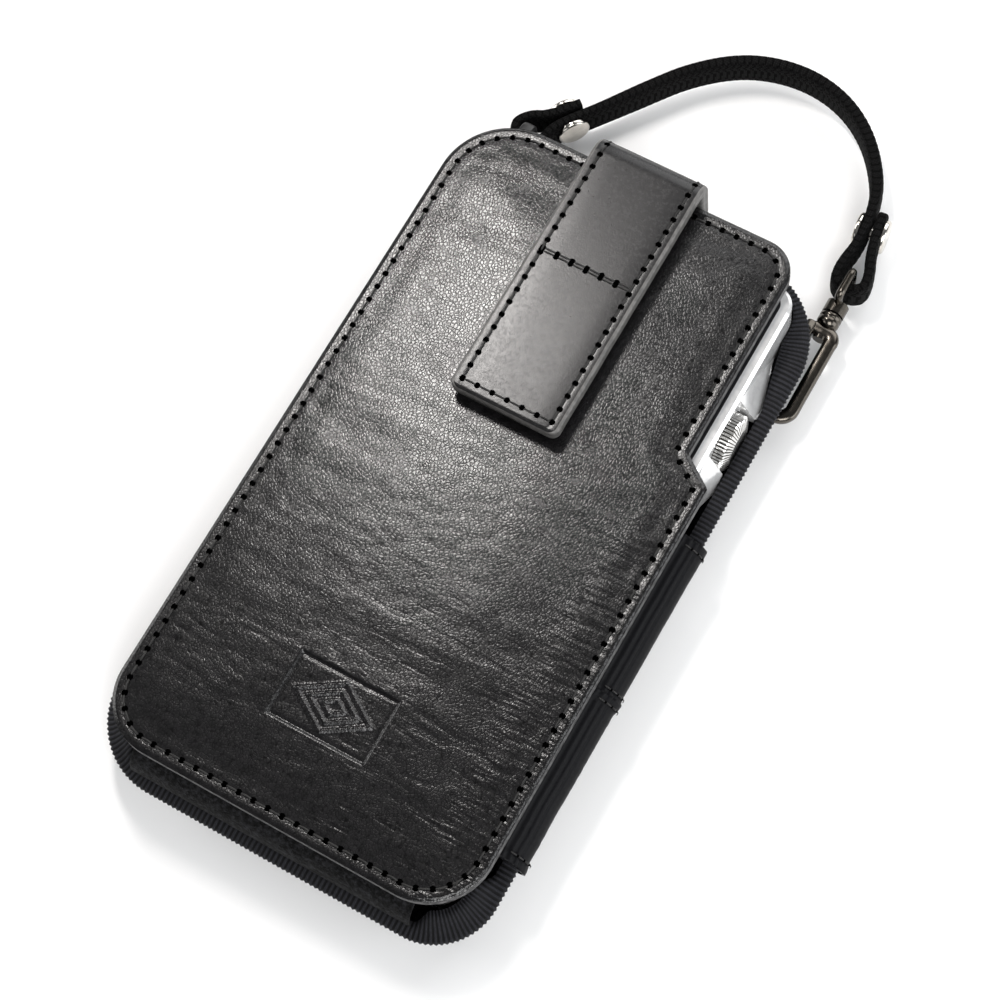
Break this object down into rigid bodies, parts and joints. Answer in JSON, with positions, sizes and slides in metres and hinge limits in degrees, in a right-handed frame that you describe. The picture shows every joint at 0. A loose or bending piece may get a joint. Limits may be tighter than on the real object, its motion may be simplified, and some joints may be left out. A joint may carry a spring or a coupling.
{
  "type": "leather carrying case",
  "caption": "Padded leather case for a pocket audio player, with a fold-over closure strap, ribbon-bound edges and a riveted hand strap on a swivel snap hook.",
  "frame": {"origin": "middle of the back panel's outer face, which the case rests on", "axes": "+Z out of the front panel, +Y towards the mouth, +X towards the player's volume wheel"},
  "size_m": [0.0957, 0.2108, 0.0283],
  "materials": {
    "leather_grain": "pebbled calfskin, semi-gloss",
    "leather_smooth": "smooth strap leather, satin",
    "leather_edge": "painted edge, satin",
    "stiffener": "fibre board",
    "foam": "closed-cell foam",
    "lining": "velour",
    "velour": "brushed velour",
    "grosgrain": "ribbed ribbon",
    "tape": "hook-and-loop tape",
    "braid": "flat braided cord",
    "nickel": "nickel plated",
    "gunmetal": "black nickel plated",
    "spring_steel": "spring steel",
    "polished_steel": "polished steel",
    "dark_glass": "glossy",
    "battery": "wrapped cell and board"
  },
  "bodies": {
    "root": {"front_panel_leather": "leather_grain", "front_panel_foam": "foam", "front_panel_board": "stiffener", "front_panel_backing": "leather_edge", "back_panel_leather": "leather_grain", "back_panel_board": "stiffener", "back_panel_lining": "lining", "back_wall": "velour", "edge_binding": "grosgrain", "right_gusset_upper": "leather_smooth", "right_gusset_lower": "leather_smooth", "left_gusset_upper": "leather_smooth", "left_gusset_lower": "leather_smooth", "bottom_gusset": "velour", "closure_strap_base": "leather_smooth", "closure_loop_tape": "tape", "left_strap_tab": "leather_smooth", "right_strap_tab": "grosgrain", "hand_strap_cord": "braid", "left_rivet_cap": "nickel", "left_rivet_base": "nickel", "right_rivet_cap": "nickel", "right_rivet_base": "nickel", "snap_hook_body": "gunmetal", "snap_hook_gate_pin": "gunmetal", "snap_hook_gate_spring": "spring_steel", "player_frame": "polished_steel", "player_wheel_guard_upper": "polished_steel", "player_wheel_guard_lower": "polished_steel", "player_screen_glass": "dark_glass", "player_back_glass": "dark_glass", "player_battery_and_board": "battery"},
    "flap": {"closure_strap_outer": "leather_smooth", "closure_strap_lining": "leather_smooth", "closure_hook_tape": "tape"},
    "volume_wheel": {"player_volume_wheel": "polished_steel", "player_wheel_shaft": "spring_steel"},
    "hook_gate": {"snap_hook_gate": "gunmetal"},
    "hook_eye": {"snap_hook_eye": "gunmetal", "snap_hook_swivel_post": "gunmetal"}
  },
  "joints": [
    {"name": "flap_lift", "type": "hinge", "parent": "root", "child": "flap", "pos_m": [-0.0012, 0.0852, 0.02105], "axis": [-1, 0, 0], "range_deg": [0, 150]},
    {"name": "wheel_turn", "type": "hinge", "parent": "root", "child": "volume_wheel", "pos_m": [0.04, 0.0408, 0.0109], "axis": [1, 0, 0], "continuous": true},
    {"name": "gate_open", "type": "hinge", "parent": "root", "child": "hook_gate", "pos_m": [0.0419, 0.0724, 0.0062], "axis": [0, 0, 1], "range_deg": [0, 15], "stiffness_Nm_per_rad": 0.01, "springref_deg": -11.46, "deforming": ["snap_hook_gate_spring"]},
    {"name": "eye_swivel", "type": "hinge", "parent": "root", "child": "hook_eye", "pos_m": [0.0449, 0.08, 0.0062], "axis": [0, 1, 0], "range_deg": [-12, 12]}
  ]
}
